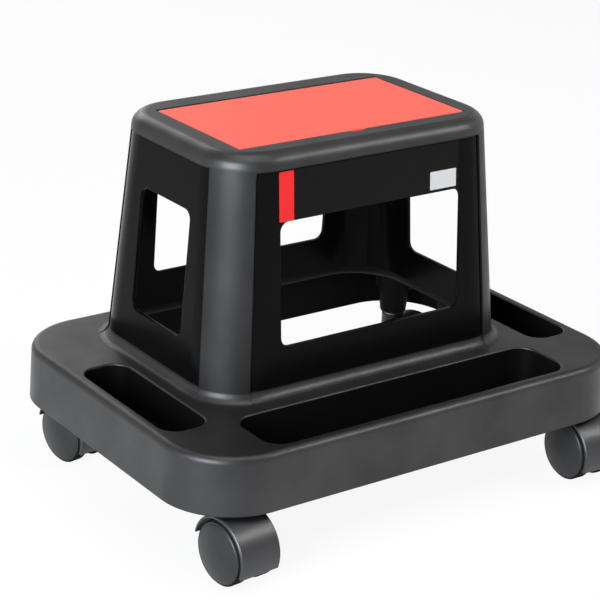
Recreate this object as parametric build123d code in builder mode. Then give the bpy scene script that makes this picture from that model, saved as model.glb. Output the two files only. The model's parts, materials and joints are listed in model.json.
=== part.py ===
from build123d import *
from math import cos, pi, radians, sin, tan
import os

# Rolling work seat with tool storage: a one-piece moulded seat and tool deck with a hinged lid, on four
# plug-in twin-wheel casters. Millimetres, +Z up, -Y to the front, and the origin on the floor under the
# middle of the outline.

# ---- Overall sizes of the moulding ----
base_width = 430.0          # across the bottom of the skirt
base_depth = 313.6          # front to back at the bottom of the skirt
overall_height = 300.9      # floor to the rim round the lid
skirt_clearance = 2.4       # from the casters' hoods up to the lower edge of the skirt
skirt_height = 47.2         # lower edge of the skirt to the tool deck
base_corner = 60.0          # corner radius at the bottom of the skirt
skirt_draft = 2.5           # degrees that the skirt leans in
deck_edge_radius = 6.0      # rounding between skirt and deck
wall = 3.0                  # skirt, deck and panel walls

# ---- Tapered seat ----
rim_width = 23.7            # side of the lid to the side of the seat at the rim
rim_depth = 27.9            # the same from its front and back, with the lid in the middle
foot_width = 39.2           # side of the lid to the side of the seat at the deck
foot_depth = 41.55          # the same from its front and back
seat_setback = 28.6         # middle of the seat behind the middle of the deck
seat_corner = 44.0          # radius of the corner columns
rim_radius = 12.0           # rounding of the top rim
foot_radius = 8.5           # rounding between seat and deck
rim_inner_radius = 9.0      # rounding inside the rim

# ---- Recessed panels between the corner columns ----
recess = 1.5                # how far the panels lie behind the columns
recess_drop = 13.4          # rim to the top of the panels
recess_corner = 4.0
front_column_top = 25.8     # width of the columns seen from the front, at the top of the panel
front_column_foot = 30.4    # the same at the deck
side_column = 31.8          # width of the front columns seen from the side
back_column = 16.0          # the same for the back columns

# ---- Windows ----
window_corner = 8.0
front_window_sill = 39.6    # deck to the window
front_window_drop = 41.2    # top of the panels to the window
front_window_inset = 21.1   # side of the window in from the side of the lid
side_window_sill = 37.6     # deck to the window
side_window_drop = 40.0     # top of the panels to the window
side_window_inset = 23.25   # side of the window in from the front or back of the lid
side_window_flare = 1.0     # how much wider the window is at its bottom

# ---- Lid, rebate and storage tray ----
lid_width = 220.0
lid_depth = 119.5
lid_setback = -3.3          # middle of the lid from the middle of the seat
lid_thickness = 3.2
lid_corner = 1.5
lid_edge = 0.4              # bevel round the lid's top
lid_gap = 0.8               # round the front and sides of the lid
lid_back_gap = 2.9          # behind the lid, for its swing
lid_seat_gap = 0.3          # between the lid and its ledge
lid_rib_depth = 6.0
lid_rib = 1.6
lid_rib_gap = 0.8           # between the lid's rib and the tray wall
ledge = 6.0                 # width of the ledge under the lid
tray_wall = 2.5
tray_depth = 46.7           # bottom of the closed lid to the floor of the tray
tray_corner = 8.0
pivot_drop = 4.5            # rim to the lid's pivot axis
pivot_inset = 3.0           # pivot axis in front of the lid's back edge
trunnion_radius = 2.0
trunnion_reach = 4.5        # how far the trunnions go into the bosses
trunnion_clearance = 0.1
lug_width = 4.0             # lug under the lid that carries a trunnion
lug_depth = 5.0
pivot_boss = 12.0           # side of the square boss round each trunnion
pivot_relief = 5.0          # free radius round the lug
scoop_radius = 11.0         # finger scoop in front of the lid
scoop_reach = 4.0

# ---- Tool pockets in the deck ----
pocket_wall = 2.5
pocket_draft = 2.0          # degrees
pocket_floor_radius = 5.0
pocket_lip_radius = 1.5
front_pocket_margin = 7.6   # deck left flat between the seat's foot rounding and the front pocket
side_pocket_margin = 5.5    # the same for a side pocket
pocket_edge_margin = 9.9    # deck left between a pocket and the edge of the deck
front_pocket_length = 294.8
front_pocket_depth = 38.0
front_pocket_corner = 16.0
side_pocket_length = 137.0
side_pocket_depth = 34.0
side_pocket_corner = 15.0
side_pocket_start = 2.9     # front end of a side pocket behind the front pocket

# ---- Casters ----
caster_inset_x = 40.0       # swivel axis in from the side of the skirt
caster_inset_y = 33.5       # swivel axis in from the front or back of the skirt
rest_turn = {"fl": 5.0, "fr": -2.0, "rl": 9.0, "rr": 24.0}  # degrees each caster is turned at rest
wheel_radius = 26.0
trail = 15.5                # swivel axis behind the axle
core_gap = 1.5              # between a wheel and the core of the neck
tread_width = 9.5
dome = 4.5                  # how far a wheel's outer face bulges
dome_step = 0.6             # groove round the dome
wheel_rim = 2.8
wheel_hub_wall = 4.0        # hub round the axle
wheel_face = 3.0            # thickness of the outer face
wheel_shoulder = 1.5        # bevel between tread and face
wheel_ribs = 6
wheel_rib = 1.6
wheel_rib_inset = 1.5       # ribs set back from the wheel's open side
axle_radius = 3.0
axle_clearance = 0.06
axle_end_gap = 0.5
axle_chamfer = 0.5
hood_gap = 1.8              # between wheel and hood
hood_wall = 2.2
hood_overlap = 0.5          # hood beyond the treads at each side
hood_rear_angle = 15.0      # degrees above the axle where the hood ends at the back
hood_front_angle = 21.0     # degrees below the axle where it ends at the front
hood_edge = 0.9             # bevel along the hood's sides
web_gap = 4.5               # between the web and a wheel
web_hub_wall = 5.0          # web round the axle
neck_core_wall = 2.95       # round the stem, between the wheels
neck_wall = 3.0             # neck outside its core
neck_gap = 0.5              # between the neck and the stem's collar
stem_radius = 4.0           # lower stem, that the housing turns on
stem_clearance = 0.05
stem_reach = 24.0           # end of the stem below the boss
stem_end_gap = 1.0
stem_chamfer = 1.0
stem_groove_depth = 0.7     # groove that the housing's snap ridge runs in
stem_groove_lift = 3.0      # end of the stem to the groove
stem_groove_height = 3.0
snap_gap = 0.3
collar_lip = 3.6            # collar beyond the plug
collar_height = 1.5
plug_radius = 5.4           # upper stem, in the socket
plug_length = 34.0
plug_tip_chamfer = 1.5
ring_height = 4.0
ring_depth = 0.8            # groove depth for the grip ring
ring_slit = 3.0
ring_drop = 6.0             # grip ring below the tip of the stem
plug_clearance = 0.1        # between plug and socket
socket_wall = 2.0
socket_flange_lip = 3.5     # flange beyond the socket
socket_flange = 1.5
socket_end = 1.5            # closed end above the stem
socket_end_gap = 1.0
boss_clearance = 4.0        # from the hood up to the bottom of the boss
boss_wall = 4.5             # round the socket
boss_flare = 5.0            # how much wider the boss is at the deck
boss_rib = 2.0
boss_rib_lift = 16.0        # bottom of the boss to its ribs

# ---- Worked out from the sizes above ----
neck_core_radius = stem_radius + stem_clearance + neck_core_wall
neck_radius = neck_core_radius + neck_wall
wheel_gap = 2 * (neck_core_radius + core_gap)       # between the two wheels
wheel_hub_radius = axle_radius + wheel_hub_wall
web_hub_radius = axle_radius + web_hub_wall
web_width = wheel_gap - 2 * web_gap
hood_radius = wheel_radius + hood_gap + hood_wall
hood_width = wheel_gap + 2 * (tread_width + hood_overlap)
hood_top = wheel_radius + hood_radius               # floor to the top of a hood
socket_bore_radius = plug_radius + plug_clearance
socket_radius = socket_bore_radius + socket_wall
socket_flange_radius = socket_radius + socket_flange_lip
collar_radius = plug_radius + collar_lip
boss_bottom = hood_top + boss_clearance
boss_foot_radius = socket_radius + boss_wall
boss_top_radius = boss_foot_radius + boss_flare
boss_rib_bottom = boss_bottom + boss_rib_lift
stem_bottom = boss_bottom - stem_reach
stem_groove_bottom = stem_bottom + stem_groove_lift
stem_groove_radius = stem_radius - stem_groove_depth
skirt_bottom = hood_top + skirt_clearance
deck_height = skirt_bottom + skirt_height
seat_top_width = lid_width + 2 * rim_width
seat_top_depth = lid_depth + 2 * rim_depth
seat_foot_width = lid_width + 2 * foot_width
seat_foot_depth = lid_depth + 2 * foot_depth
recess_top = overall_height - recess_drop
front_window_bottom = deck_height + front_window_sill
front_window_top = recess_top - front_window_drop
front_window_width = lid_width - 2 * front_window_inset
side_window_bottom = deck_height + side_window_sill
side_window_top = recess_top - side_window_drop
side_window_top_width = lid_depth - 2 * side_window_inset
side_window_bottom_width = side_window_top_width + side_window_flare
ledge_top = overall_height - lid_thickness - lid_seat_gap
tray_floor_height = overall_height - lid_thickness - tray_depth
front_reach = max(
    (trail + hood_radius) * cos(radians(turn)) + hood_width / 2 * abs(sin(radians(turn)))
    for corner, turn in rest_turn.items()
    if corner[0] == "f"
)
caster_overhang = front_reach - caster_inset_y      # front hoods beyond the skirt
deck_y = caster_overhang / 2
seat_y = deck_y + seat_setback
lid_y = seat_y + lid_setback
skirt_lean = (deck_height - skirt_bottom) * tan(radians(skirt_draft))
deck_half_width = base_width / 2 - skirt_lean
deck_front = deck_y - base_depth / 2 + skirt_lean
below_deck = deck_height - wall
beyond = 2 * base_width     # long enough to pass right through the moulding


def seat_size(height):
    """Half width, front and back of the tapered seat at a height above the floor."""
    share = (overall_height - height) / (overall_height - deck_height)
    half_width = (seat_top_width + (seat_foot_width - seat_top_width) * share) / 2
    half_depth = (seat_top_depth + (seat_foot_depth - seat_top_depth) * share) / 2
    return half_width, seat_y - half_depth, seat_y + half_depth


def envelope(base_inset, seat_inset, top, deck, edge, foot, rim):
    """The deck block with the seat on it, each set in by its own amount, rounded at edge, foot and rim."""
    top_half, top_front, top_back = seat_size(top)
    low_half, low_front, low_back = seat_size(skirt_bottom)
    with BuildPart() as tower:
        with BuildSketch(Plane.XZ.offset(-beyond / 2)):
            with BuildLine():
                Polyline(
                    (seat_inset - low_half, skirt_bottom),
                    (seat_inset - top_half, top),
                    (top_half - seat_inset, top),
                    (low_half - seat_inset, skirt_bottom),
                    close=True,
                )
            make_face()
        extrude(amount=beyond)
        with BuildSketch(Plane.YZ.offset(-beyond / 2)):
            with BuildLine():
                Polyline(
                    (low_front + seat_inset, skirt_bottom),
                    (top_front + seat_inset, top),
                    (top_back - seat_inset, top),
                    (low_back - seat_inset, skirt_bottom),
                    close=True,
                )
            make_face()
        extrude(amount=beyond, mode=Mode.INTERSECT)
        fillet(tower.edges().group_by(Axis.Z)[1], seat_corner - seat_inset)
    with BuildPart() as solid:
        with BuildSketch(Plane.XY.offset(skirt_bottom)):
            with Locations((0, deck_y)):
                RectangleRounded(
                    base_width - 2 * base_inset, base_depth - 2 * base_inset, base_corner - base_inset
                )
        extrude(amount=deck - skirt_bottom, taper=skirt_draft)
        fillet(solid.edges().group_by(Axis.Z)[-1], edge)
        add(tower.part)
        foot_half, foot_front, foot_back = seat_size(deck)
        foot_edges = solid.edges().filter_by_position(Axis.Z, deck, deck).filter_by(
            lambda seam: abs(seam.center().X) < foot_half + foot
            and foot_front - foot < seam.center().Y < foot_back + foot
        )
        fillet(foot_edges, foot)
        fillet(solid.edges().group_by(Axis.Z)[-1], rim)
    return solid.part


def panel_zone():
    """The zone of the recessed panels: one trapezium through front and back, one through both sides."""
    top_half, top_front, top_back = seat_size(recess_top)
    foot_half, foot_front, foot_back = seat_size(deck_height)
    low = below_deck
    with BuildPart() as zone:
        with BuildSketch(Plane.XZ.offset(-beyond / 2)):
            with BuildLine():
                Polyline(
                    (front_column_top - top_half, recess_top),
                    (top_half - front_column_top, recess_top),
                    (foot_half - front_column_foot, low),
                    (front_column_foot - foot_half, low),
                    close=True,
                )
            face = make_face()
            fillet(face.vertices().group_by(Axis.Z)[-1], recess_corner)
        extrude(amount=beyond)
        with BuildSketch(Plane.YZ.offset(-beyond / 2)):
            with BuildLine():
                Polyline(
                    (top_front + side_column, recess_top),
                    (top_back - back_column, recess_top),
                    (foot_back - back_column, low),
                    (foot_front + side_column, low),
                    close=True,
                )
            face = make_face()
            near_top = face.vertices().group_by(Axis.Z)[-1].sort_by(Axis.Y)[0]
            fillet(near_top, recess_corner)
        extrude(amount=beyond)
    return zone.part


def windows():
    """Front and back windows as one prism, left and right windows as another."""
    with BuildPart() as cutter:
        with BuildSketch(Plane.XZ.offset(-beyond / 2)):
            with Locations((0, (front_window_bottom + front_window_top) / 2)):
                RectangleRounded(
                    front_window_width, front_window_top - front_window_bottom, window_corner
                )
        extrude(amount=beyond)
        with BuildSketch(Plane.YZ.offset(-beyond / 2)):
            with BuildLine():
                Polyline(
                    (seat_y - side_window_top_width / 2, side_window_top),
                    (seat_y + side_window_top_width / 2, side_window_top),
                    (seat_y + side_window_bottom_width / 2, side_window_bottom),
                    (seat_y - side_window_bottom_width / 2, side_window_bottom),
                    close=True,
                )
            face = make_face()
            fillet(face.vertices(), window_corner)
        extrude(amount=beyond)
    return cutter.part


def pocket_space(x, y, length, width, corner, depth):
    """The inside of one tool pocket, drafted, with a rounded floor."""
    with BuildPart() as space:
        with BuildSketch(Plane.XY.offset(deck_height)):
            with Locations((x, y)):
                RectangleRounded(length, width, corner)
        extrude(amount=-depth, taper=pocket_draft)
        fillet(space.edges().group_by(Axis.Z)[0], pocket_floor_radius)
    return space.part


# ---- Tool pockets: middle, length along X, length along Y, corner radius and depth ----
foot_half_width, foot_front_y, foot_back_y = seat_size(deck_height)
front_pocket_back = foot_front_y - foot_radius - front_pocket_margin
front_pocket_front = deck_front + pocket_edge_margin
side_pocket_inner = foot_half_width + foot_radius + side_pocket_margin
side_pocket_outer = deck_half_width - pocket_edge_margin
side_pocket_front = front_pocket_back + side_pocket_start
side_pocket_x = (side_pocket_inner + side_pocket_outer) / 2
side_pocket_y = side_pocket_front + side_pocket_length / 2
pockets = [
    (
        (0, (front_pocket_back + front_pocket_front) / 2),
        (front_pocket_length, front_pocket_back - front_pocket_front),
        front_pocket_corner,
        front_pocket_depth,
    )
]
for side in (-1, 1):
    pockets.append(
        (
            (side * side_pocket_x, side_pocket_y),
            (side_pocket_outer - side_pocket_inner, side_pocket_length),
            min(side_pocket_corner, (side_pocket_outer - side_pocket_inner) / 2 - pocket_lip_radius),
            side_pocket_depth,
        )
    )

# ---- Caster places ----
caster_x = base_width / 2 - caster_inset_x
caster_y = base_depth / 2 - caster_inset_y
casters = {
    "fl": (-caster_x, deck_y - caster_y),
    "fr": (caster_x, deck_y - caster_y),
    "rl": (-caster_x, deck_y + caster_y),
    "rr": (caster_x, deck_y + caster_y),
}
socket_top = boss_bottom + plug_length + socket_end_gap + socket_end

# ---- Lid opening and pivot ----
open_half_width = lid_width / 2 + lid_gap
open_front = lid_y - lid_depth / 2 - lid_gap
open_back = lid_y + lid_depth / 2 + lid_back_gap
pivot_y = lid_y + lid_depth / 2 - pivot_inset
pivot_z = overall_height - pivot_drop
tray_half_width = open_half_width - ledge
tray_front = open_front + ledge
tray_back = open_back - ledge
trough_bottom = pivot_z - pivot_relief

outer = envelope(0, 0, overall_height, deck_height, deck_edge_radius, foot_radius, rim_radius)
inner_seat = envelope(0, recess, overall_height, deck_height, deck_edge_radius, foot_radius, rim_radius)
hollow = envelope(
    wall,
    wall + recess,
    overall_height - wall,
    below_deck,
    deck_edge_radius - wall,
    foot_radius + wall,
    rim_inner_radius,
)
zone = panel_zone()

with BuildPart() as boss_ribs:
    for x, y in casters.values():
        side_x = base_width / 2 if x > 0 else -base_width / 2
        end_y = deck_y + (base_depth / 2 if y > deck_y else -base_depth / 2)
        with Locations(((x + side_x) / 2, y, (boss_rib_bottom + below_deck) / 2)):
            Box(abs(side_x - x), boss_rib, below_deck - boss_rib_bottom)
        with Locations((x, (y + end_y) / 2, (boss_rib_bottom + below_deck) / 2)):
            Box(boss_rib, abs(end_y - y), below_deck - boss_rib_bottom)
    add(hollow, mode=Mode.INTERSECT)

with BuildPart() as panels:
    add(inner_seat)
    add(zone, mode=Mode.INTERSECT)

with BuildPart() as seat_body:
    add(outer)
    add(zone, mode=Mode.SUBTRACT)
    add(panels.part)
    add(hollow, mode=Mode.SUBTRACT)
    add(boss_ribs.part)
    # bosses for the caster sockets
    for x, y in casters.values():
        with BuildSketch(Plane.XY.offset(boss_bottom)):
            with Locations((x, y)):
                Circle(boss_foot_radius)
        with BuildSketch(Plane.XY.offset(below_deck + wall / 2)):
            with Locations((x, y)):
                Circle(boss_top_radius)
        loft()
    # pocket buckets under the deck, then the pockets themselves
    for (x, y), (length, width), corner, depth in pockets:
        with BuildSketch(Plane.XY.offset(below_deck + wall / 2)):
            with Locations((x, y)):
                RectangleRounded(length + 2 * pocket_wall, width + 2 * pocket_wall, corner + pocket_wall)
        extrude(amount=-(depth + pocket_wall - wall / 2), taper=pocket_draft)
    for (x, y), (length, width), corner, depth in pockets:
        add(pocket_space(x, y, length, width, corner, depth), mode=Mode.SUBTRACT)
        lip = seat_body.edges().filter_by_position(Axis.Z, deck_height, deck_height).filter_by(
            lambda edge: abs(edge.center().X - x) < length / 2 + pocket_lip_radius
            and abs(edge.center().Y - y) < width / 2 + pocket_lip_radius
        )
        fillet(lip, pocket_lip_radius)
    # storage tray, with a collar for the ledge that the lid rests on and a trough for its hinge
    with BuildSketch(Plane.XY.offset(trough_bottom - tray_wall)):
        with Locations((0, (open_front + open_back) / 2)):
            Rectangle(2 * (open_half_width + tray_wall), open_back - open_front + 2 * tray_wall)
    extrude(amount=overall_height - wall / 2 - trough_bottom + tray_wall)
    with BuildSketch(Plane.XY.offset(tray_floor_height - tray_wall)):
        with Locations((0, (tray_front + tray_back) / 2)):
            RectangleRounded(
                2 * (tray_half_width + tray_wall),
                tray_back - tray_front + 2 * tray_wall,
                tray_corner + tray_wall,
            )
    extrude(amount=trough_bottom - tray_floor_height)
    for side in (-1, 1):
        with Locations((side * (open_half_width + pivot_boss / 4), pivot_y, pivot_z - pivot_drop / 2)):
            Box(pivot_boss / 2, pivot_boss, pivot_boss - pivot_drop)
    with BuildSketch(Plane.XY.offset(ledge_top)):
        with Locations((0, (open_front + open_back) / 2)):
            Rectangle(2 * open_half_width, open_back - open_front)
    extrude(amount=overall_height - ledge_top, mode=Mode.SUBTRACT)
    with BuildSketch(Plane.XY.offset(tray_floor_height)):
        with Locations((0, (tray_front + tray_back) / 2)):
            RectangleRounded(2 * tray_half_width, tray_back - tray_front, tray_corner)
    extrude(amount=overall_height - tray_floor_height, mode=Mode.SUBTRACT)
    with BuildSketch(Plane.XY.offset(trough_bottom)):
        with Locations((0, (tray_back + open_back) / 2)):
            Rectangle(2 * open_half_width, open_back - tray_back)
    extrude(amount=ledge_top - trough_bottom, mode=Mode.SUBTRACT)
    for side in (-1, 1):
        with Locations((side * (open_half_width - lug_width), pivot_y, pivot_z)):
            Box(2 * lug_width, 2 * pivot_relief, 2 * pivot_relief, mode=Mode.SUBTRACT)
    with BuildSketch(Plane.YZ.offset(-open_half_width - trunnion_reach - lid_gap)):
        with Locations((pivot_y, pivot_z)):
            Circle(trunnion_radius + trunnion_clearance)
    extrude(amount=2 * (open_half_width + trunnion_reach + lid_gap), mode=Mode.SUBTRACT)
    # finger scoop in front of the lid
    with BuildSketch(Plane.XY.offset(ledge_top)):
        with Locations((0, open_front - scoop_reach + scoop_radius)):
            Circle(scoop_radius)
    extrude(amount=overall_height - ledge_top, mode=Mode.SUBTRACT)
    add(windows(), mode=Mode.SUBTRACT)
    # socket bores
    for x, y in casters.values():
        with BuildSketch(Plane.XY.offset(boss_bottom)):
            with Locations((x, y)):
                Circle(socket_radius)
        extrude(amount=socket_top - boss_bottom, mode=Mode.SUBTRACT)
seat_body.part.label = "seat_body"

# ---- Lid ----
with BuildPart() as lid:
    with BuildSketch(Plane.XY.offset(overall_height - lid_thickness)):
        with Locations((0, lid_y)):
            RectangleRounded(lid_width, lid_depth, lid_corner)
    extrude(amount=lid_thickness)
    rib_front = tray_front + lid_rib_gap
    rib_back = tray_back - tray_wall - lid_rib_gap
    rib_half = tray_half_width - lug_width - pivot_relief
    with BuildSketch(Plane.XY.offset(overall_height - lid_thickness - lid_rib_depth)):
        with Locations((0, (rib_front + rib_back) / 2)):
            RectangleRounded(2 * rib_half, rib_back - rib_front, tray_corner)
            RectangleRounded(
                2 * (rib_half - lid_rib),
                rib_back - rib_front - 2 * lid_rib,
                tray_corner - lid_rib,
                mode=Mode.SUBTRACT,
            )
    extrude(amount=lid_rib_depth)
    lug_bottom = pivot_z - trunnion_radius
    lug_top = overall_height - lid_thickness / 2
    for side in (-1, 1):
        with Locations((side * (lid_width - lug_width) / 2, pivot_y, (lug_top + lug_bottom) / 2)):
            Box(lug_width, lug_depth, lug_top - lug_bottom)
    with BuildSketch(Plane.YZ.offset(lid_width / 2 - lug_width)):
        with Locations((pivot_y, pivot_z)):
            Circle(trunnion_radius)
    extrude(amount=lug_width + lid_gap + trunnion_reach)
    with BuildSketch(Plane.YZ.offset(-lid_width / 2 + lug_width)):
        with Locations((pivot_y, pivot_z)):
            Circle(trunnion_radius)
    extrude(amount=-(lug_width + lid_gap + trunnion_reach))
    chamfer(lid.faces().sort_by(Axis.Z)[-1].edges(), lid_edge)
lid.part.label = "lid"


# ---- Caster pieces, made round the swivel axis with the hood towards -Y ----
axle_y = -trail
axle_z = wheel_radius
collar_bottom = boss_bottom - socket_flange - collar_height
neck_top = collar_bottom - neck_gap
plug_top = boss_bottom + plug_length
inner_face_x = wheel_gap / 2
dome_x = inner_face_x + tread_width
axle_half = dome_x + dome - wheel_face - axle_end_gap

with BuildPart() as housing:
    with BuildSketch(Plane.XY.offset(axle_z)):
        Circle(neck_radius)
    extrude(amount=neck_top - axle_z)
    with BuildSketch(Plane.YZ.offset(-hood_width)):
        with Locations((axle_y, axle_z)):
            Circle(hood_radius - hood_wall)
    extrude(amount=2 * hood_width, mode=Mode.SUBTRACT)
    arc_size = 180 + hood_front_angle - hood_rear_angle
    with BuildSketch(Plane.YZ.offset(-hood_width / 2)):
        with BuildLine():
            top_arc = CenterArc((axle_y, axle_z), hood_radius, hood_rear_angle, arc_size)
            low_arc = CenterArc((axle_y, axle_z), hood_radius - hood_wall, hood_rear_angle, arc_size)
            Line(top_arc @ 0, low_arc @ 0)
            Line(top_arc @ 1, low_arc @ 1)
        make_face()
    extrude(amount=hood_width)
    hood_sides = housing.edges().filter_by(
        lambda arc: abs(abs(arc.center().X) - hood_width / 2) < hood_edge
        and arc.length > pi * (hood_radius - hood_wall / 2) * arc_size / 180
    )
    chamfer(hood_sides, hood_edge)
    with BuildSketch(Plane.YZ.offset(-web_width / 2)):
        with BuildLine():
            rim_arc = CenterArc(
                (axle_y, axle_z), hood_radius - hood_wall / 2, hood_rear_angle, arc_size
            )
            Line(rim_arc @ 0, (axle_y, axle_z))
            Line(rim_arc @ 1, (axle_y, axle_z))
        make_face()
        with Locations((axle_y, axle_z)):
            Circle(web_hub_radius)
    extrude(amount=web_width)
    with BuildSketch(Plane.XY.offset(stem_bottom - stem_end_gap - wall)):
        Circle(neck_core_radius)
    extrude(amount=neck_top - stem_bottom + stem_end_gap + wall)
    with BuildSketch(Plane.XY.offset(stem_bottom - stem_end_gap)):
        Circle(stem_radius + stem_clearance)
    extrude(amount=neck_top - stem_bottom + stem_end_gap, mode=Mode.SUBTRACT)
    with BuildSketch(Plane.XY.offset(stem_groove_bottom + snap_gap)):
        Circle(stem_radius + wall / 2)
        Circle(stem_groove_radius + snap_gap, mode=Mode.SUBTRACT)
    extrude(amount=stem_groove_height - 2 * snap_gap)
    with BuildSketch(Plane.YZ.offset(-web_width)):
        with Locations((axle_y, axle_z)):
            Circle(axle_radius)
    extrude(amount=2 * web_width, mode=Mode.SUBTRACT)

with BuildPart() as axle:
    with BuildSketch(Plane.YZ.offset(-axle_half)):
        with Locations((axle_y, axle_z)):
            Circle(axle_radius)
    extrude(amount=2 * axle_half)
    chamfer(axle.edges().filter_by(GeomType.CIRCLE), axle_chamfer)

# Half section of the right wheel: X along the axle, Y out from it, turned into place afterwards
with BuildPart() as wheel:
    with BuildSketch(Plane.XY):
        with BuildLine():
            edge = wheel_radius - wheel_rim
            Polyline(
                (axle_half + axle_end_gap, 0),
                (axle_half + axle_end_gap, axle_radius + axle_clearance),
                (inner_face_x, axle_radius + axle_clearance),
                (inner_face_x, wheel_hub_radius),
                (dome_x + dome - wheel_face - dome_step, wheel_hub_radius),
                (dome_x - wheel_face + dome_step, edge),
                (inner_face_x, edge),
                (inner_face_x, wheel_radius),
                (dome_x - wheel_shoulder, wheel_radius),
                (dome_x, wheel_radius - wheel_shoulder),
                (dome_x, edge),
                (dome_x + dome_step, edge - dome_step),
            )
            TangentArc((dome_x + dome, 0), (dome_x + dome_step, edge - dome_step), tangent=(0, 1))
            Line((dome_x + dome, 0), (axle_half + axle_end_gap, 0))
        make_face()
    revolve(axis=Axis.X)
    with BuildSketch(Plane.YZ.offset(inner_face_x + wheel_rib_inset)):
        with PolarLocations((wheel_hub_radius + edge) / 2, wheel_ribs):
            Rectangle(edge - wheel_hub_radius + wheel_rim / 2, wheel_rib)
    extrude(amount=tread_width - wheel_face)

with BuildPart() as stem:
    with BuildSketch(Plane.XZ):
        with BuildLine():
            ring_top = plug_top - ring_drop
            Polyline(
                (0, stem_bottom),
                (stem_radius - stem_chamfer, stem_bottom),
                (stem_radius, stem_bottom + stem_chamfer),
                (stem_radius, stem_groove_bottom),
                (stem_groove_radius, stem_groove_bottom),
                (stem_groove_radius, stem_groove_bottom + stem_groove_height),
                (stem_radius, stem_groove_bottom + stem_groove_height),
                (stem_radius, collar_bottom),
                (collar_radius, collar_bottom),
                (collar_radius, collar_bottom + collar_height),
                (plug_radius, collar_bottom + collar_height),
                (plug_radius, ring_top - ring_height),
                (plug_radius - ring_depth, ring_top - ring_height),
                (plug_radius - ring_depth, ring_top),
                (plug_radius, ring_top),
                (plug_radius, plug_top - plug_tip_chamfer),
                (plug_radius - plug_tip_chamfer, plug_top),
                (0, plug_top),
                close=True,
            )
        make_face()
    revolve(axis=Axis.Z)

with BuildPart() as grip_ring:
    with BuildSketch(Plane.XY.offset(ring_top - ring_height)):
        Circle(socket_bore_radius)
        Circle(plug_radius - ring_depth, mode=Mode.SUBTRACT)
        with Locations((socket_bore_radius, 0)):
            Rectangle(2 * socket_bore_radius, ring_slit, mode=Mode.SUBTRACT)
    extrude(amount=ring_height)

with BuildPart() as socket:
    with BuildSketch(Plane.XY.offset(boss_bottom - socket_flange)):
        Circle(socket_flange_radius)
    extrude(amount=socket_flange)
    with BuildSketch(Plane.XY.offset(boss_bottom)):
        Circle(socket_radius)
    extrude(amount=socket_top - boss_bottom)
    with BuildSketch(Plane.XY.offset(boss_bottom - socket_flange)):
        Circle(socket_bore_radius)
    extrude(amount=socket_flange + plug_length + socket_end_gap, mode=Mode.SUBTRACT)

# ---- Placing and writing ----
pieces = {"seat_body": seat_body.part, "lid": lid.part}
right_wheel = wheel.part.moved(Location((0, axle_y, axle_z)))
left_wheel = wheel.part.moved(Location((0, axle_y, axle_z), (0, 0, 180)))
for corner, (x, y) in casters.items():
    fixed = Location((x, y, 0))
    turned = Location((x, y, 0), (0, 0, rest_turn[corner]))
    pieces[f"{corner}_socket"] = socket.part.moved(fixed)
    pieces[f"{corner}_stem"] = stem.part.moved(fixed)
    pieces[f"{corner}_grip_ring"] = grip_ring.part.moved(fixed)
    pieces[f"{corner}_housing"] = housing.part.moved(turned)
    pieces[f"{corner}_axle"] = axle.part.moved(turned)
    pieces[f"{corner}_wheel_left"] = left_wheel.moved(turned)
    pieces[f"{corner}_wheel_right"] = right_wheel.moved(turned)

os.makedirs("parts", exist_ok=True)
for name, piece in pieces.items():
    piece.label = name
    export_step(piece, f"parts/{name}.step")
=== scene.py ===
"""Looks for a rolling work seat with tool storage: moulded plastics, the film on its front and the stage.

The seat's solids come ready made, in metres, +Z up and -Y to the front. Each operator below finishes one
group of them, or adds what is thinner than a solid.
"""

import json
import math

import bpy
from bpy.props import FloatProperty, FloatVectorProperty, IntProperty, PointerProperty
from mathutils import Matrix, Vector


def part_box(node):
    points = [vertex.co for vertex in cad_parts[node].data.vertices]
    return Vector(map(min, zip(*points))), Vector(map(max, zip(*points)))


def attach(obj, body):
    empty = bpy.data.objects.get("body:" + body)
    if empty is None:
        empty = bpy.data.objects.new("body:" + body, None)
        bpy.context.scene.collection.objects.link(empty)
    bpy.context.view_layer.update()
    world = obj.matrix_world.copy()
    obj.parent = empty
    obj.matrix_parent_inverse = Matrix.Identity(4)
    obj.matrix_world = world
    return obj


bl_info = {
    "name": "Rolling Work Seat",
    "version": (1, 0, 0),
    "blender": (4, 5, 0),
    "location": "3D View > Sidebar > Work Seat",
    "description": "Finishes, front film and stage for a rolling work seat with tool storage",
    "category": "Object",
}

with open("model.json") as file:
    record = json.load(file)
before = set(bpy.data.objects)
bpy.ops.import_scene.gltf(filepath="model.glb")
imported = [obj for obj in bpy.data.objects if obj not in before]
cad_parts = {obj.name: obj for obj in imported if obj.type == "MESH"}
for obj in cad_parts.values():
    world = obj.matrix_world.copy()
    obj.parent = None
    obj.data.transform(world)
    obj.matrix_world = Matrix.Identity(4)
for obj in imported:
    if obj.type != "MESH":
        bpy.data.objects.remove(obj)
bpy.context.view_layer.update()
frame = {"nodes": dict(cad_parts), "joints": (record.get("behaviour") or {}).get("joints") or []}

CORNERS = ("fl", "fr", "rl", "rr")
DECK_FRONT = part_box("seat_body")[0].y

# Where the moulded body changes its finish, in metres. A pair is where something starts and ends.
POCKET_HEIGHTS = (0.0620, 0.1042)
FRONT_POCKET_ACROSS = (-1.0, 0.1490)    # away from the middle, so it starts below 0
FRONT_POCKET_ALONG = (-0.1397, -0.0805)
SIDE_POCKET_ACROSS = (0.1616, 0.2046)
SIDE_POCKET_ALONG = (-0.0808, 0.0594)
SKIRT_HEIGHTS = (0.0500, 0.1050)        # with the rounded edge of the deck
FOOT_HEIGHTS = (0.1060, 0.1126)         # rounding between deck and seat
RIM_HEIGHTS = (0.2885, 0.3003)
PANEL_STEP = 0.0040                     # the side panels start this far beyond the front panel's edge
BORDER = 0.0004                         # softness of the line between two finishes
DOWNWARDS = -0.01                       # height of a normal below which a face counts as inside

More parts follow.
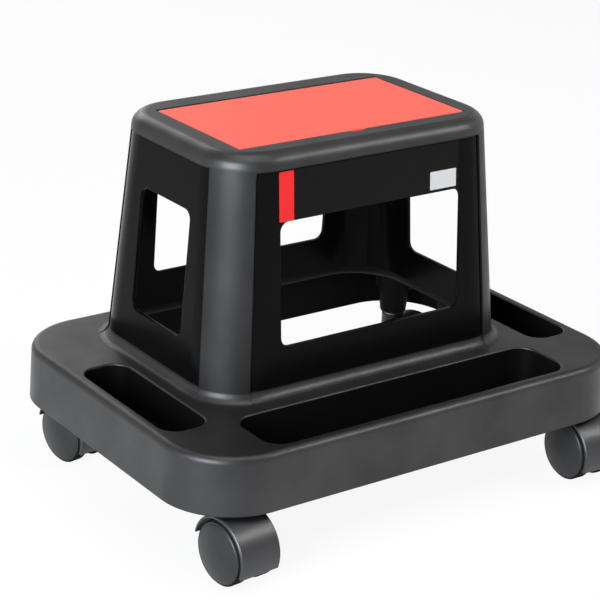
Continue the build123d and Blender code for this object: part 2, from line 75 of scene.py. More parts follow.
# Skin and relief
SKIN_ROUGHNESS = 0.42
BASE_SHINE = 0.05                       # under the skin
GRAIN_DEPTH = 0.0001
SINK_DEPTH = 0.0040                     # slow waves of the moulded wall
PEEL_DEPTH = 0.0005                     # orange peel of the film

FILM_GAP = 0.00005                      # between the panel and the film
WELD = 0.000005                         # how close two points are joined

# The room: how bright it looks, and how strongly it lights
ROOM_LIGHT = 0.25
WALL_MIRROR = 0.62                      # seen in a gloss, up to WALL_TOP
CEILING_MIRROR = 0.1
WALL_TOP = 0.3                          # as the height of a direction, 1 straight up
WALL_FADE = 0.25
FLOOR_REACH = 14.0
FLOOR_WHITE = 0.91                      # share of plain white in the floor that is seen
FLOOR_MIRROR = 0.5                      # the same in a gloss, as a share of it
LAMP_TARGET = Vector((0, 0, 0.18))

# Name, place, width, share of the main lamp's power, and colour
LAMPS = (
    ("left_softbox", (-1.85, -0.85, 0.85), 1.1, 1.0, (0.88, 0.93, 1.0)),
    ("top_softbox", (-0.1, -0.3, 1.8), 1.2, 0.2, (1, 1, 1)),
    ("back_softbox", (0.3, 2.0, 1.2), 1.0, 0.13, (1, 1, 1)),
    ("right_softbox", (1.2, -1.05, 1.5), 0.5, 0.2, (1, 1, 1)),
)


# ---- Sizes and colours that a user would change ----


class BodyFinish(bpy.types.PropertyGroup):
    """Moulded seat and deck"""

    color: FloatVectorProperty(
        name="Plastic", description="Colour of the moulded body", subtype="COLOR",
        size=3, min=0, max=1, default=(0.007, 0.0067, 0.0068),
    )
    satin: FloatProperty(
        name="Satin", description="Roughness of the grained faces", min=0, max=1, default=0.5,
    )
    polish: FloatProperty(
        name="Polish", description="Roughness of the smooth recessed panels", min=0, max=1, default=0.2,
    )
    grain: FloatProperty(
        name="Grain", description="Size of the moulded grain", unit="LENGTH", min=0.0001, default=0.0009,
    )
    edge: FloatProperty(
        name="Edge", description="Softness of the moulded edges", unit="LENGTH", min=0, default=0.0012,
    )
    panel_top: FloatProperty(
        name="Panel top", description="Height of the top of the recessed panels", unit="LENGTH",
        default=0.2875,
    )
    panel_foot: FloatProperty(
        name="Panel foot", description="Height where the panels end on the deck", unit="LENGTH",
        default=0.1135,
    )
    front_half: FloatProperty(
        name="Front half width", description="Half the front panel's width at its top", unit="LENGTH",
        default=0.109,
    )
    front_flare: FloatProperty(
        name="Front flare", description="How fast the front panel widens downwards", default=0.0532,
    )
    side_middle: FloatProperty(
        name="Side middle", description="Middle of the side panels, front to back", unit="LENGTH",
        default=0.0432,
    )
    side_half: FloatProperty(
        name="Side half width", description="Half a side panel's width at its top", unit="LENGTH",
        default=0.0647,
    )
    side_flare: FloatProperty(
        name="Side flare", description="How fast the side panels widen downwards", default=0.0687,
    )
    skin: FloatProperty(
        name="Skin", description="Strength of the satin skin on the grained faces", min=0, max=1,
        default=0.64,
    )
    edge_skin: FloatProperty(
        name="Edge skin", description="The same on the rim, the skirt and the foot of the seat", min=0,
        max=1, default=1.0,
    )


class LidFinish(bpy.types.PropertyGroup):
    """Lid of the storage tray"""

    color: FloatVectorProperty(
        name="Plastic", description="Colour of the lid", subtype="COLOR",
        size=3, min=0, max=1, default=(0.79, 0.080, 0.045),
    )
    satin: FloatProperty(name="Satin", description="Roughness of the lid", min=0, max=1, default=0.36)


class CasterFinish(bpy.types.PropertyGroup):
    """Hoods, wheels and metal parts"""

    hood_color: FloatVectorProperty(
        name="Hood", description="Colour of the hoods", subtype="COLOR",
        size=3, min=0, max=1, default=(0.008, 0.008, 0.009),
    )
    wheel_color: FloatVectorProperty(
        name="Wheel", description="Colour of the wheels", subtype="COLOR",
        size=3, min=0, max=1, default=(0.007, 0.007, 0.0075),
    )
    steel_color: FloatVectorProperty(
        name="Zinc", description="Colour of the plated steel", subtype="COLOR",
        size=3, min=0, max=1, default=(0.56, 0.57, 0.58),
    )
    satin: FloatProperty(name="Satin", description="Roughness of the nylon", min=0, max=1, default=0.4)
    disc: FloatProperty(
        name="Disc", description="Radius of a wheel's shiny face inside its tread", unit="LENGTH", min=0.001,
        default=0.0242,
    )


class FilmSizes(bpy.types.PropertyGroup):
    """Plain film over the front window"""

    width: FloatProperty(
        name="Width", description="Width of the film", unit="LENGTH", min=0.01, default=0.1758,
    )
    middle: FloatProperty(
        name="Middle", description="Middle of the film, to the left below 0", unit="LENGTH", default=-0.0021,
    )
    height: FloatProperty(
        name="Height", description="Height of the film", unit="LENGTH", min=0.005, default=0.0395,
    )
    top: FloatProperty(
        name="Top", description="Height of the film's upper edge", unit="LENGTH", default=0.2861,
    )
    corner: FloatProperty(
        name="Corner", description="Corner radius of the film", unit="LENGTH", min=0.0001, default=0.0008,
    )
    thickness: FloatProperty(
        name="Thickness", description="Thickness of the film", unit="LENGTH", min=0.00005, default=0.0002,
    )
    band: FloatProperty(
        name="Band", description="Width of the coloured band at the film's left end", unit="LENGTH",
        min=0.001, default=0.0136,
    )
    patch_width: FloatProperty(
        name="Patch width", description="Width of the blank patch at the film's right end", unit="LENGTH",
        min=0.001, default=0.0265,
    )
    patch_height: FloatProperty(
        name="Patch height", description="Height of the blank patch", unit="LENGTH", min=0.001,
        default=0.0150,
    )
    patch_margin: FloatProperty(
        name="Patch margin", description="Film left below and beside the patch", unit="LENGTH", min=0,
        default=0.0022,
    )
    patch_color: FloatVectorProperty(
        name="Patch colour", description="Colour of the blank patch", subtype="COLOR",
        size=3, min=0, max=1, default=(0.5, 0.5, 0.5),
    )
    band_color: FloatVectorProperty(
        name="Band colour", description="Colour of the band", subtype="COLOR",
        size=3, min=0, max=1, default=(0.62, 0.02, 0.02),
    )
    film_color: FloatVectorProperty(
        name="Film colour", description="Colour of the film", subtype="COLOR",
        size=3, min=0, max=1, default=(0.0025, 0.0025, 0.0028),
    )


class StageSettings(bpy.types.PropertyGroup):
    """Floor, lights and camera"""

    camera_place: FloatVectorProperty(
        name="Camera", description="Where the camera stands", subtype="TRANSLATION",
        size=3, default=(-0.9238, -1.2304, 0.7473),
    )
    azimuth: FloatProperty(
        name="Azimuth", description="Direction of view, from straight on towards the right",
        subtype="ANGLE", default=math.radians(35.15),
    )
    elevation: FloatProperty(
        name="Elevation", description="How steeply the camera looks down", subtype="ANGLE",
        default=math.radians(21.70),
    )
    roll: FloatProperty(
        name="Roll", description="Turn of the camera about its own axis", subtype="ANGLE",
        default=math.radians(1.93),
    )
    lens: FloatProperty(name="Lens", description="Focal length in millimetres", default=119.72)
    shift: FloatVectorProperty(
        name="Shift", description="How far the view lies off the lens's axis, in widths of the view", size=2,
        default=(0.05, 0.0186),
    )
    floor_color: FloatVectorProperty(
        name="Floor", description="Colour of the floor", subtype="COLOR",
        size=3, min=0, max=1, default=(0.8, 0.8, 0.8),
    )
    light: IntProperty(name="Light", description="Power of the main lamp in watts", min=0, default=72)


# ---- Helpers for node trees ----


def add_node(tree, kind, **settings):
    """A new node with its settings."""
    node = tree.nodes.new(kind)
    for name, value in settings.items():
        setattr(node, name, value)
    return node


def feed(tree, socket, value):
    """Links an output to a socket, or writes a plain value into it."""
    if isinstance(value, bpy.types.NodeSocket):
        tree.links.new(value, socket)
    else:
        socket.default_value = value


def calculate(tree, operation, first, second=0.0):
    """A Math node's result."""
    node = add_node(tree, "ShaderNodeMath", operation=operation)
    feed(tree, node.inputs[0], first)
    feed(tree, node.inputs[1], second)
    return node.outputs["Value"]


def step_up(tree, value, start, width):
    """0 below start and 1 from start + width, with a smooth rise between them."""
    node = add_node(tree, "ShaderNodeMapRange", interpolation_type="SMOOTHSTEP")
    feed(tree, node.inputs["Value"], calculate(tree, "SUBTRACT", value, start))
    node.inputs["From Max"].default_value = width
    return node.outputs["Result"]


def rescale(tree, value, low, high):
    """A 0 to 1 value as one from low to high, each a number or an output."""
    node = add_node(tree, "ShaderNodeMapRange")
    feed(tree, node.inputs["Value"], value)
    feed(tree, node.inputs["To Min"], low)
    feed(tree, node.inputs["To Max"], high)
    return node.outputs["Result"]


def cloud(tree, place, size, detail):
    """Soft noise whose patches are about size across."""
    node = add_node(tree, "ShaderNodeTexNoise")
    feed(tree, node.inputs["Vector"], place)
    node.inputs["Scale"].default_value = 1 / size
    node.inputs["Detail"].default_value = detail
    return node.outputs["Fac"]


def tint(tree, color, amount, spread):
    """The colour, a little lighter and darker as amount goes from 0 to 1."""
    node = add_node(tree, "ShaderNodeMix", data_type="RGBA")
    feed(tree, node.inputs["Factor"], amount)
    dark, light = (tuple(c * share for c in color) + (1,) for share in (1 - spread, 1 + spread))
    node.inputs["A"].default_value = dark
    node.inputs["B"].default_value = light
    return node.outputs["Result"]


def relief(tree, edge, *layers):
    """A normal with rounded edges and layers of relief, each a height, a depth and a strength."""
    rounded = add_node(tree, "ShaderNodeBevel", samples=6)
    rounded.inputs["Radius"].default_value = edge
    normal = rounded.outputs["Normal"]
    for height, depth, strength in layers:
        bump = add_node(tree, "ShaderNodeBump")
        bump.inputs["Strength"].default_value = strength
        bump.inputs["Distance"].default_value = depth
        feed(tree, bump.inputs["Height"], height)
        feed(tree, bump.inputs["Normal"], normal)
        normal = bump.outputs["Normal"]
    return normal


def new_material(name):
    """A material with one Principled shader: the material, its tree, the shader and object coordinates."""
    material = bpy.data.materials.new(name)
    material.use_nodes = True
    tree = material.node_tree
    tree.nodes.clear()
    output = add_node(tree, "ShaderNodeOutputMaterial")
    shader = add_node(tree, "ShaderNodeBsdfPrincipled")
    tree.links.new(shader.outputs["BSDF"], output.inputs["Surface"])
    place = add_node(tree, "ShaderNodeTexCoord").outputs["Object"]
    return material, tree, shader, place


# ---- Finishes ----


def panel_zone(tree, place, sizes):
    """1 on the recessed panels between the corner columns, 0 elsewhere."""
    split = add_node(tree, "ShaderNodeSeparateXYZ")
    feed(tree, split.inputs["Vector"], place)
    across = calculate(tree, "ABSOLUTE", split.outputs["X"])
    drop = calculate(tree, "SUBTRACT", sizes.panel_top, split.outputs["Z"])
    along = calculate(tree, "ABSOLUTE", calculate(tree, "SUBTRACT", split.outputs["Y"], sizes.side_middle))
    front_flare = calculate(tree, "MULTIPLY", drop, sizes.front_flare)
    side_flare = calculate(tree, "MULTIPLY", drop, sizes.side_flare)
    front_half = calculate(tree, "ADD", front_flare, sizes.front_half)
    side_half = calculate(tree, "ADD", side_flare, sizes.side_half)
    front = step_up(tree, calculate(tree, "SUBTRACT", front_half, across), 0.0, BORDER)
    side = step_up(tree, calculate(tree, "SUBTRACT", side_half, along), 0.0, BORDER)
    beside = step_up(tree, calculate(tree, "SUBTRACT", across, front_half), PANEL_STEP, BORDER)
    high_enough = step_up(tree, split.outputs["Z"], sizes.panel_foot, BORDER)
    low_enough = step_up(tree, drop, 0.0, BORDER)
    either = calculate(tree, "MAXIMUM", front, calculate(tree, "MULTIPLY", side, beside))
    return calculate(tree, "MULTIPLY", either, calculate(tree, "MULTIPLY", high_enough, low_enough))


def between(tree, value, ends):
    """1 where the value lies between two ends, which are soft."""
    low, high = ends
    rise = step_up(tree, value, low, BORDER)
    fall = step_up(tree, value, high, BORDER)
    return calculate(tree, "SUBTRACT", rise, fall)


def pocket_zone(tree, place):
    """1 inside the three tool pockets."""
    split = add_node(tree, "ShaderNodeSeparateXYZ")
    feed(tree, split.inputs["Vector"], place)
    across = calculate(tree, "ABSOLUTE", split.outputs["X"])
    along = split.outputs["Y"]
    front, sides = (
        calculate(tree, "MULTIPLY", between(tree, across, widths), between(tree, along, lengths))
        for widths, lengths in (
            (FRONT_POCKET_ACROSS, FRONT_POCKET_ALONG),
            (SIDE_POCKET_ACROSS, SIDE_POCKET_ALONG),
        )
    )
    deep = between(tree, split.outputs["Z"], POCKET_HEIGHTS)
    return calculate(tree, "MULTIPLY", deep, calculate(tree, "MAXIMUM", front, sides))


def inner_zone(tree):
    """1 on faces that look downwards: the inside of the tapered walls and everything under the deck."""
    facing = add_node(tree, "ShaderNodeSeparateXYZ")
    feed(tree, facing.inputs["Vector"], add_node(tree, "ShaderNodeTexCoord").outputs["Normal"])
    return calculate(tree, "LESS_THAN", facing.outputs["Z"], DOWNWARDS)


def edge_zone(tree, place):
    """1 on the rim, the skirt up to its rounded edge and the rounding at the foot of the seat."""
    split = add_node(tree, "ShaderNodeSeparateXYZ")
    feed(tree, split.inputs["Vector"], place)
    skirt, foot, rim = (
        between(tree, split.outputs["Z"], heights) for heights in (SKIRT_HEIGHTS, FOOT_HEIGHTS, RIM_HEIGHTS)
    )
    return calculate(tree, "MAXIMUM", calculate(tree, "MAXIMUM", skirt, foot), rim)


def moulded_polypropylene(sizes):
    """Black grained plastic with a satin skin, bare on the panels, in the pockets and inside, and with
    painted shade that darkens its colour on the recessed panels and in the pockets.
    """
    material, tree, shader, place = new_material("moulded_polypropylene")
    panel = panel_zone(tree, place, sizes)
    # Painted shade: the plastic's colour is darkened on the recessed panels and in the pockets.
    dark = calculate(tree, "MAXIMUM", panel, pocket_zone(tree, place))
    smooth = calculate(tree, "MAXIMUM", dark, inner_zone(tree))
    patches = cloud(tree, place, size=0.05, detail=3.0)
    grain = cloud(tree, place, size=sizes.grain, detail=1.0)
    sink = cloud(tree, place, size=0.09, detail=0.0)
    # Painted shade: the colour is multiplied towards black on the panels and in the pockets, by up to 0.6.
    painted_shade = add_node(tree, "ShaderNodeMix", data_type="RGBA", blend_type="MULTIPLY")
    feed(tree, painted_shade.inputs["Factor"], rescale(tree, dark, 0.0, 0.6))
    feed(tree, painted_shade.inputs["A"], tint(tree, sizes.color, patches, spread=0.18))
    painted_shade.inputs["B"].default_value = (0, 0, 0, 1)
    feed(tree, shader.inputs["Base Color"], painted_shade.outputs["Result"])
    dull = rescale(tree, panel, sizes.satin, sizes.polish)
    dull = calculate(tree, "ADD", dull, rescale(tree, patches, -0.05, 0.05))
    feed(tree, shader.inputs["Roughness"], dull)
    rough_grain = calculate(tree, "MULTIPLY", grain, rescale(tree, panel, 1.0, 0.25))
    surface = relief(tree, sizes.edge, (sink, SINK_DEPTH, 0.12), (rough_grain, GRAIN_DEPTH, 0.3))
    feed(tree, shader.inputs["Normal"], surface)
    feed(tree, shader.inputs["Coat Normal"], surface)
    skin = rescale(tree, edge_zone(tree, place), sizes.skin, sizes.edge_skin)
    wear = cloud(tree, place, size=0.045, detail=3.0)
    cloudy = calculate(tree, "MULTIPLY", skin, rescale(tree, wear, 0.5, 1.45))
    feed(tree, shader.inputs["Coat Weight"], rescale(tree, smooth, cloudy, 0.0))
    shader.inputs["Coat Roughness"].default_value = SKIN_ROUGHNESS
    shader.inputs["Specular IOR Level"].default_value = BASE_SHINE
    return material


def plain_plastic(name, color, roughness, grain_size, grain_strength, edge, shine):
    """Moulded plastic with a fine even grain and faint cloudiness."""
    material, tree, shader, place = new_material(name)
    patches = cloud(tree, place, size=0.03, detail=3.0)
    grain = cloud(tree, place, size=grain_size, detail=1.0)
    feed(tree, shader.inputs["Base Color"], tint(tree, color, patches, spread=0.08))
    feed(tree, shader.inputs["Roughness"], rescale(tree, patches, roughness - 0.04, roughness + 0.05))
    feed(tree, shader.inputs["Normal"], relief(tree, edge, (grain, GRAIN_DEPTH, grain_strength)))
    shader.inputs["Specular IOR Level"].default_value = shine
    return material


def tread_zone(tree, place, axle, radius):
    """1 on a wheel's tread and shoulder, from a radius round its axle outwards."""
    away = add_node(tree, "ShaderNodeVectorMath", operation="SUBTRACT")
    feed(tree, away.inputs[0], place)
    away.inputs[1].default_value = axle["pos_m"]
    turned = add_node(tree, "ShaderNodeVectorMath", operation="CROSS_PRODUCT")
    feed(tree, turned.inputs[0], away.outputs["Vector"])
    turned.inputs[1].default_value = axle["axis"]
    reach = add_node(tree, "ShaderNodeVectorMath", operation="LENGTH")
    feed(tree, reach.inputs[0], turned.outputs["Vector"])
    return step_up(tree, reach.outputs["Value"], radius, 0.0003)


def wheel_nylon(name, sizes, axle):
    """Satin nylon on a wheel's domed face, dull where the tread rolls."""
    material, tree, shader, place = new_material(name)
    patches = cloud(tree, place, size=0.012, detail=3.0)
    grain = cloud(tree, place, size=0.0006, detail=1.0)
    tread = tread_zone(tree, place, axle, sizes.disc)
    feed(tree, shader.inputs["Base Color"], tint(tree, sizes.wheel_color, patches, spread=0.08))
    feed(tree, shader.inputs["Roughness"], rescale(tree, tread, 0.5, 0.8))
    surface = relief(tree, 0.0005, (grain, GRAIN_DEPTH, 0.12))
    feed(tree, shader.inputs["Normal"], surface)
    feed(tree, shader.inputs["Coat Normal"], surface)
    worn = rescale(tree, patches, 0.7, 0.95)
    feed(tree, shader.inputs["Coat Weight"], rescale(tree, tread, worn, 0.0))
    shader.inputs["Coat Roughness"].default_value = SKIN_ROUGHNESS
    shader.inputs["Specular IOR Level"].default_value = BASE_SHINE
    return material


def zinc_plate(color):
    """Bright plated steel with a faint cloudy bloom."""
    material, tree, shader, place = new_material("zinc_plate")
    bloom = cloud(tree, place, size=0.004, detail=4.0)
    feed(tree, shader.inputs["Base Color"], tint(tree, color, bloom, spread=0.12))
    feed(tree, shader.inputs["Roughness"], rescale(tree, bloom, 0.22, 0.42))
    shader.inputs["Metallic"].default_value = 1.0
    return material


def printed_film(name, color):
    """Smooth printed film with the slight orange peel of a stuck-on label."""
    material, tree, shader, place = new_material(name)
    peel = cloud(tree, place, size=0.006, detail=1.0)
    feed(tree, shader.inputs["Base Color"], tint(tree, color, peel, spread=0.04))
    feed(tree, shader.inputs["Roughness"], rescale(tree, peel, 0.24, 0.34))
    feed(tree, shader.inputs["Normal"], relief(tree, 0.0001, (peel, PEEL_DEPTH, 0.08)))
    shader.inputs["Specular IOR Level"].default_value = 0.12
    return material


def give_material(node_names, material):
    """Puts one material on the CAD solids with these names."""
    for name in node_names:
        for slot in frame["nodes"][name].material_slots:
            slot.material = material


# ---- Front film ----


def film_tree():
    """Geometry Nodes: an upright rounded rectangle about the origin, with its thickness to the front."""
    tree = bpy.data.node_groups.new("film_blank", "GeometryNodeTree")
    for name in ("Width", "Height", "Corner", "Thickness"):
        tree.interface.new_socket(name, in_out="INPUT", socket_type="NodeSocketFloat")
    tree.interface.new_socket("Material", in_out="INPUT", socket_type="NodeSocketMaterial")
    tree.interface.new_socket("Film", in_out="OUTPUT", socket_type="NodeSocketGeometry")
    given = add_node(tree, "NodeGroupInput")
    outline = add_node(tree, "GeometryNodeCurvePrimitiveQuadrilateral")
    rounded = add_node(tree, "GeometryNodeFilletCurve", mode="POLY")
    rounded.inputs["Count"].default_value = 5
    filled = add_node(tree, "GeometryNodeFillCurve", mode="NGONS")
    raised = add_node(tree, "GeometryNodeExtrudeMesh")
    raised.inputs["Individual"].default_value = False
    back = add_node(tree, "GeometryNodeFlipFaces")
    joined = add_node(tree, "GeometryNodeJoinGeometry")
    welded = add_node(tree, "GeometryNodeMergeByDistance")
    welded.inputs["Distance"].default_value = WELD
    upright = add_node(tree, "GeometryNodeTransform")
    upright.inputs["Rotation"].default_value = (math.pi / 2, 0, 0)
    real = add_node(tree, "GeometryNodeRealizeInstances")
    dressed = add_node(tree, "GeometryNodeSetMaterial")
    result = add_node(tree, "NodeGroupOutput")
    for output, socket in (
        (given.outputs["Width"], outline.inputs["Width"]),
        (given.outputs["Height"], outline.inputs["Height"]),
        (outline.outputs["Curve"], rounded.inputs["Curve"]),
        (given.outputs["Corner"], rounded.inputs["Radius"]),
        (rounded.outputs["Curve"], filled.inputs["Curve"]),
        (filled.outputs["Mesh"], raised.inputs["Mesh"]),
        (given.outputs["Thickness"], raised.inputs["Offset Scale"]),
        (filled.outputs["Mesh"], back.inputs["Mesh"]),
        (raised.outputs["Mesh"], joined.inputs["Geometry"]),
        (back.outputs["Mesh"], joined.inputs["Geometry"]),
        (joined.outputs["Geometry"], welded.inputs["Geometry"]),
        (welded.outputs["Geometry"], upright.inputs["Geometry"]),
        (upright.outputs["Geometry"], real.inputs["Geometry"]),
        (real.outputs["Geometry"], dressed.inputs["Geometry"]),
        (given.outputs["Material"], dressed.inputs["Material"]),
        (dressed.outputs["Geometry"], result.inputs["Film"]),
    ):
        tree.links.new(output, socket)
    return tree


def cut_film(name, tree, width, height, corner, thickness, material):
    """One plain mesh from the film tree, its middle at the origin."""
    blank = bpy.data.objects.new(name, bpy.data.meshes.new(name))
    bpy.context.scene.collection.objects.link(blank)
    maker = blank.modifiers.new("film", "NODES")
    maker.node_group = tree
    wanted = {
        "Width": width, "Height": height, "Corner": corner, "Thickness": thickness, "Material": material,
    }
    for item in tree.interface.items_tree:
        if item.item_type == "SOCKET" and item.in_out == "INPUT":
            maker[item.identifier] = wanted[item.name]
    evaluated = blank.evaluated_get(bpy.context.evaluated_depsgraph_get())
    mesh = bpy.data.meshes.new_from_object(evaluated)
    blank.modifiers.remove(maker)
    blank.data = mesh
    return blank


def front_panel_point(height):
    """A point of the recessed front panel, measured on the seat's solid, at a height above the floor."""
    node = frame["nodes"]["seat_body"]
    ahead = Vector((0.0, DECK_FRONT - 0.1, height))
    hit, point, normal, _ = node.ray_cast(ahead, Vector((0.0, 1.0, 0.0)))
    if not hit:
        raise RuntimeError("the front panel is not where the film goes")
    return point, normal


# ---- Operators ----


class WORKSEAT_OT_body(bpy.types.Operator):
    """Finish the moulded seat and tool deck"""

    bl_idname = "workseat.body"
    bl_label = "Moulded Body"

    def execute(self, context):
        give_material(["seat_body"], moulded_polypropylene(context.scene.work_seat_body))
        return {"FINISHED"}


class WORKSEAT_OT_lid(bpy.types.Operator):
    """Finish the lid of the storage tray"""

    bl_idname = "workseat.lid"
    bl_label = "Lid"

    def execute(self, context):
        finish = context.scene.work_seat_lid
        plastic = plain_plastic(
            "lid_plastic", finish.color, finish.satin,
            grain_size=0.0008, grain_strength=0.18, edge=0.0007, shine=0.35,
        )
        give_material(["lid"], plastic)
        return {"FINISHED"}


class WORKSEAT_OT_casters(bpy.types.Operator):
    """Finish the hoods, wheels, sockets and metal parts of the casters"""

    bl_idname = "workseat.casters"
    bl_label = "Casters"

    def execute(self, context):
        finish = context.scene.work_seat_casters
        hood = plain_plastic(
            "hood_nylon", finish.hood_color, finish.satin,
            grain_size=0.0007, grain_strength=0.22, edge=0.0006, shine=0.75,
        )
        socket = plain_plastic(
            "socket_nylon", finish.hood_color, finish.satin + 0.1,
            grain_size=0.0008, grain_strength=0.1, edge=0.0004, shine=0.5,
        )
        zinc = zinc_plate(finish.steel_color)
        metal = [f"{corner}_{part}" for corner in CORNERS for part in ("stem", "grip_ring", "axle")]
        give_material([f"{corner}_housing" for corner in CORNERS], hood)
        axles = {joint["name"]: joint for joint in frame["joints"]}
        for corner in CORNERS:
            wheel = wheel_nylon(f"{corner}_wheel_nylon", finish, axles[f"{corner}_left_wheel_spin"])
            give_material([f"{corner}_wheel_left", f"{corner}_wheel_right"], wheel)
        give_material([f"{corner}_socket" for corner in CORNERS], socket)
        give_material(metal, zinc)
        return {"FINISHED"}


class WORKSEAT_OT_film(bpy.types.Operator):
    """Cut the film over the front window and its coloured band, and lay them on the recessed panel"""

    bl_idname = "workseat.film"
    bl_label = "Front Film"

    def execute(self, context):
        sizes = context.scene.work_seat_film
        tree = film_tree()

        def cut(name, width, height, material):
            return cut_film(name, tree, width, height, sizes.corner, sizes.thickness, material)

        black = printed_film("film_black", sizes.film_color)
        red = printed_film("film_red", sizes.band_color)
        pale = printed_film("film_pale", sizes.patch_color)
        film = cut("front_film", sizes.width, sizes.height, black)
        band = cut("front_film_band", sizes.band, sizes.height, red)
        patch = cut("front_film_patch", sizes.patch_width, sizes.patch_height, pale)

        point, normal = front_panel_point(sizes.top - sizes.height / 2)
        lean = math.atan2(normal.z, -normal.y)
        glue = Matrix.Translation((0, -FILM_GAP, 0))
        middle = Matrix.Translation(point + Vector((sizes.middle, 0, 0)))
        lie = middle @ Matrix.Rotation(-lean, 4, "X") @ glue
        left = Matrix.Translation(((sizes.band - sizes.width) / 2, -sizes.thickness, 0))
        right = Matrix.Translation((
            (sizes.width - sizes.patch_width) / 2 - sizes.patch_margin,
            -sizes.thickness,
            (sizes.patch_height - sizes.height) / 2 + sizes.patch_margin,
        ))
        for piece, place in ((film, Matrix.Identity(4)), (band, left), (patch, right)):
            piece.data.transform(lie @ place)
            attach(piece, "seat")
        return {"FINISHED"}


class WORKSEAT_OT_stage(bpy.types.Operator):
    """Set up the floor, the lights and the camera"""

    bl_idname = "workseat.stage"
    bl_label = "Stage"

    def execute(self, context):
        settings = context.scene.work_seat_stage
        context.scene.view_settings.view_transform = "Standard"
        lay_floor(settings.floor_color)
        light_world(context.scene)
        for name, place, width, share, color in LAMPS:
            hang_lamp(name, place, width, settings.light * share, color)
        place_camera(context.scene, settings)
        return {"FINISHED"}


def lay_floor(color):
    """A wide pale floor that keeps a soft shadow."""
    mesh = bpy.data.meshes.new("floor")
    signs = ((-1, -1), (1, -1), (1, 1), (-1, 1))
    mesh.from_pydata([(x * FLOOR_REACH, y * FLOOR_REACH, 0) for x, y in signs], [], [(0, 1, 2, 3)])
    floor = bpy.data.objects.new("floor", mesh)
    bpy.context.scene.collection.objects.link(floor)
    material, tree, shader, place = new_material("pale_floor")
    dust = cloud(tree, place, size=0.4, detail=2.0)
    feed(tree, shader.inputs["Base Color"], tint(tree, color, dust, spread=0.01))
    shader.inputs["Roughness"].default_value = 0.8
    shader.inputs["Specular IOR Level"].default_value = 0.1
    white = add_node(tree, "ShaderNodeEmission")
    seen = add_node(tree, "ShaderNodeLightPath")
    direct = calculate(tree, "MAXIMUM", seen.outputs["Is Camera Ray"], seen.outputs["Is Transmission Ray"])
    mirrored = calculate(tree, "MULTIPLY", seen.outputs["Is Glossy Ray"], FLOOR_MIRROR)
    share = calculate(tree, "MULTIPLY", calculate(tree, "MAXIMUM", direct, mirrored), FLOOR_WHITE)
    blend = add_node(tree, "ShaderNodeMixShader")
    feed(tree, blend.inputs["Fac"], share)
    tree.links.new(shader.outputs["BSDF"], blend.inputs[1])
    tree.links.new(white.outputs["Emission"], blend.inputs[2])
    output = next(node for node in tree.nodes if node.type == "OUTPUT_MATERIAL")
    tree.links.new(blend.outputs["Shader"], output.inputs["Surface"])
    mesh.materials.append(material)


def light_world(scene):
    """A white room: plain white where it is seen, dimmer in a gloss and as a light."""
    world = bpy.data.worlds.new("white_room")
    world.use_nodes = True
    tree = world.node_tree
    room = tree.nodes["Background"]
    seen = add_node(tree, "ShaderNodeLightPath")
    split = add_node(tree, "ShaderNodeSeparateXYZ")
    feed(tree, split.inputs["Vector"], add_node(tree, "ShaderNodeTexCoord").outputs["Generated"])
    walls = rescale(tree, step_up(tree, split.outputs["Z"], WALL_TOP, WALL_FADE), WALL_MIRROR, CEILING_MIRROR)
    mirrored = calculate(tree, "MULTIPLY", seen.outputs["Is Glossy Ray"], walls)
    direct = calculate(tree, "MAXIMUM", seen.outputs["Is Camera Ray"], mirrored)
    direct = calculate(tree, "MAXIMUM", direct, seen.outputs["Is Transmission Ray"])
    feed(tree, room.inputs["Color"], (1, 1, 1, 1))
    feed(tree, room.inputs["Strength"], rescale(tree, direct, ROOM_LIGHT, 1.0))
    scene.world = world


def hang_lamp(name, place, width, watts, color):
    """A square area lamp that points at the seat."""
    lamp = bpy.data.lights.new(name, "AREA")
    lamp.size = width
    lamp.energy = watts
    lamp.color = color
    holder = bpy.data.objects.new(name, lamp)
    holder.location = place
    holder.rotation_euler = (LAMP_TARGET - holder.location).to_track_quat("-Z", "Y").to_euler()
    bpy.context.scene.collection.objects.link(holder)


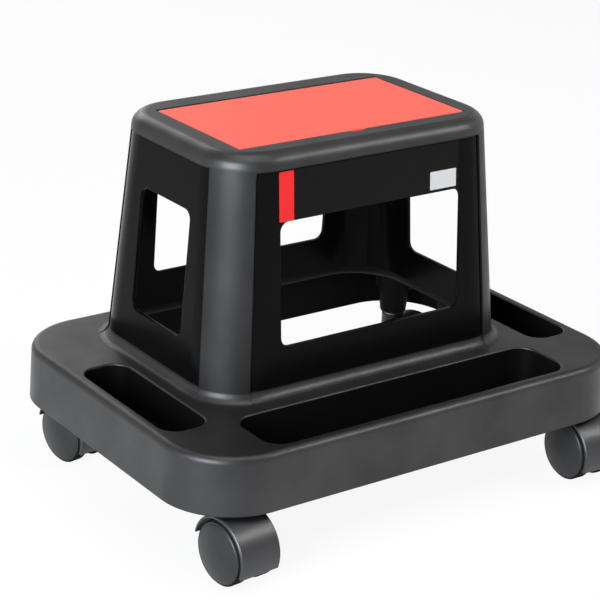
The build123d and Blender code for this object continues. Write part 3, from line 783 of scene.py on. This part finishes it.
def place_camera(scene, settings):
    """The camera, with its view moved a little off the lens's axis."""
    camera = bpy.data.cameras.new("camera")
    camera.sensor_width = 36.0
    camera.lens = settings.lens
    camera.shift_x, camera.shift_y = settings.shift
    camera.clip_start = 0.05
    camera.clip_end = 60.0
    holder = bpy.data.objects.new("camera", camera)
    holder.matrix_world = (
        Matrix.Translation(settings.camera_place)
        @ Matrix.Rotation(-settings.azimuth, 4, "Z")
        @ Matrix.Rotation(math.pi / 2 - settings.elevation, 4, "X")
        @ Matrix.Rotation(settings.roll, 4, "Z")
    )
    scene.collection.objects.link(holder)
    scene.camera = holder


# ---- Sidebar ----


class WORKSEAT_PT_sidebar(bpy.types.Panel):
    """Steps of the work seat in their order"""

    bl_idname = "WORKSEAT_PT_sidebar"
    bl_label = "Work Seat"
    bl_space_type = "VIEW_3D"
    bl_region_type = "UI"
    bl_category = "Work Seat"

    def draw(self, context):
        for operator in OPERATORS:
            self.layout.operator(operator.bl_idname)
        for attribute, group in SETTINGS.items():
            box = self.layout.box()
            box.label(text=group.__doc__)
            for name in group.__annotations__:
                box.prop(getattr(context.scene, attribute), name)


SETTINGS = {
    "work_seat_body": BodyFinish,
    "work_seat_lid": LidFinish,
    "work_seat_casters": CasterFinish,
    "work_seat_film": FilmSizes,
    "work_seat_stage": StageSettings,
}
OPERATORS = (WORKSEAT_OT_stage, WORKSEAT_OT_body, WORKSEAT_OT_lid, WORKSEAT_OT_casters, WORKSEAT_OT_film)


def register():
    for group in SETTINGS.values():
        bpy.utils.register_class(group)
    for attribute, group in SETTINGS.items():
        setattr(bpy.types.Scene, attribute, PointerProperty(type=group))
    for operator in OPERATORS:
        bpy.utils.register_class(operator)
    bpy.utils.register_class(WORKSEAT_PT_sidebar)


def unregister():
    bpy.utils.unregister_class(WORKSEAT_PT_sidebar)
    for operator in reversed(OPERATORS):
        bpy.utils.unregister_class(operator)
    for attribute in SETTINGS:
        delattr(bpy.types.Scene, attribute)
    for group in SETTINGS.values():
        bpy.utils.unregister_class(group)


def main():
    """Makes the whole scene."""
    register()
    bpy.ops.workseat.stage()
    bpy.ops.workseat.body()
    bpy.ops.workseat.lid()
    bpy.ops.workseat.casters()
    bpy.ops.workseat.film()


if __name__ == "__main__":
    main()
